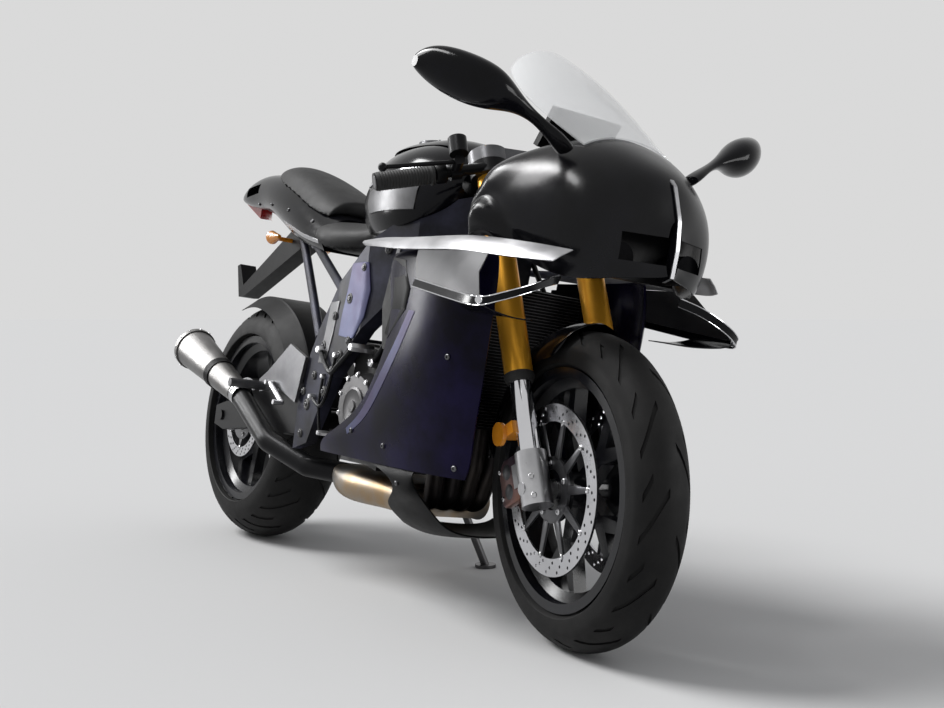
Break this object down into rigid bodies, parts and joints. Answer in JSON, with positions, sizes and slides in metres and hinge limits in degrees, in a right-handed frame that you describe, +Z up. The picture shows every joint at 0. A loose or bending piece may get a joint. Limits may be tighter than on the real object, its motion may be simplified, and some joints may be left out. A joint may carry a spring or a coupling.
{
  "type": "sport motorcycle",
  "caption": "Fully faired sport motorcycle with a twin-spar frame, upside-down fork, low right-hand silencer and clear screen, parked leaning on its side stand.",
  "frame": {"origin": "on the floor, under the middle of the bounding box", "axes": "+X to the front of the machine, +Y to its left, +Z up; the machine leans 8 degrees to its left on its side stand"},
  "size_m": [2.0518, 0.8346, 1.1716],
  "materials": {
    "frame_black": "dark blue-grey satin paint",
    "cast_metal": "dark cast metal",
    "satin_black": "satin black plastic",
    "bare_alloy": "brushed alloy",
    "satin_steel": "satin steel",
    "gold_alloy": "gold anodised",
    "gloss_black": "gloss black paint with a violet tint",
    "seat": "matt black cover",
    "clear": "clear",
    "red_lens": "red lens",
    "amber": "amber lens",
    "chrome": "hard chrome",
    "tyre": "matt black rubber",
    "wheel_black": "gloss black"
  },
  "bodies": {
    "chassis": {"frame": "frame_black", "engine_block": "cast_metal", "engine_covers": "cast_metal", "radiator": "satin_black", "swingarm": "bare_alloy", "drive_chain": "satin_steel", "rear_hugger": "satin_black", "rear_shock": "satin_steel", "rear_caliper": "gold_alloy", "exhaust_headers": "satin_steel", "exhaust_chamber": "satin_steel", "exhaust_pipe": "satin_steel", "muffler": "satin_steel", "fuel_tank": "bare_alloy", "tank_cover": "satin_black", "fuel_cap": "bare_alloy", "tail_cowl": "gloss_black", "rider_seat": "seat", "pillion_pad": "gloss_black", "front_cowl": "gloss_black", "windscreen": "clear", "side_fairing_left": "gloss_black", "side_fairing_right": "gloss_black", "belly_pan": "gloss_black", "side_wings": "bare_alloy", "mirrors": "gloss_black", "plate_bracket": "satin_black", "rear_subframe": "bare_alloy", "footrests": "bare_alloy", "foot_levers": "bare_alloy", "cowl_stay": "frame_black", "instrument_panel": "satin_black", "headlamps": "clear", "fairing_stays": "frame_black", "inner_ducts": "satin_black", "tail_light": "red_lens", "indicators": "amber", "stand_bracket": "frame_black"},
    "steering": {"fork_sliders": "chrome", "fork_tubes": "gold_alloy", "fork_shoes": "bare_alloy", "fork_clamps": "frame_black", "handlebars": "satin_black", "hand_levers": "bare_alloy", "front_mudguard": "gloss_black", "front_calipers": "gold_alloy", "side_reflectors": "amber"},
    "front_wheel": {"front_tyre": "tyre", "front_rim": "wheel_black", "front_discs": "satin_steel"},
    "rear_wheel": {"rear_tyre": "tyre", "rear_rim": "wheel_black", "rear_disc": "satin_steel", "rear_sprocket": "satin_steel"},
    "side_stand": {"side_stand": "frame_black"}
  },
  "joints": [
    {"name": "steering_turn", "type": "hinge", "parent": "chassis", "child": "steering", "pos_m": [0.70208, -0.10325, 0.28717], "axis": [-0.4072, 0.1271, 0.9044], "range_deg": [-18.5, 35.5]},
    {"name": "front_wheel_spin", "type": "hinge", "parent": "steering", "child": "front_wheel", "pos_m": [0.72813, -0.10586, 0.29927], "axis": [0.1351, 0.9878, -0.078], "continuous": true},
    {"name": "rear_wheel_spin", "type": "hinge", "parent": "chassis", "child": "rear_wheel", "pos_m": [-0.67659, -0.098, 0.3238], "axis": [0.0001, 0.9903, -0.1392], "continuous": true},
    {"name": "side_stand_fold", "type": "hinge", "parent": "chassis", "child": "side_stand", "pos_m": [-0.00155, 0.06542, 0.22953], "axis": [0.148, 0.9202, 0.3623], "range_deg": [0, 95]}
  ]
}
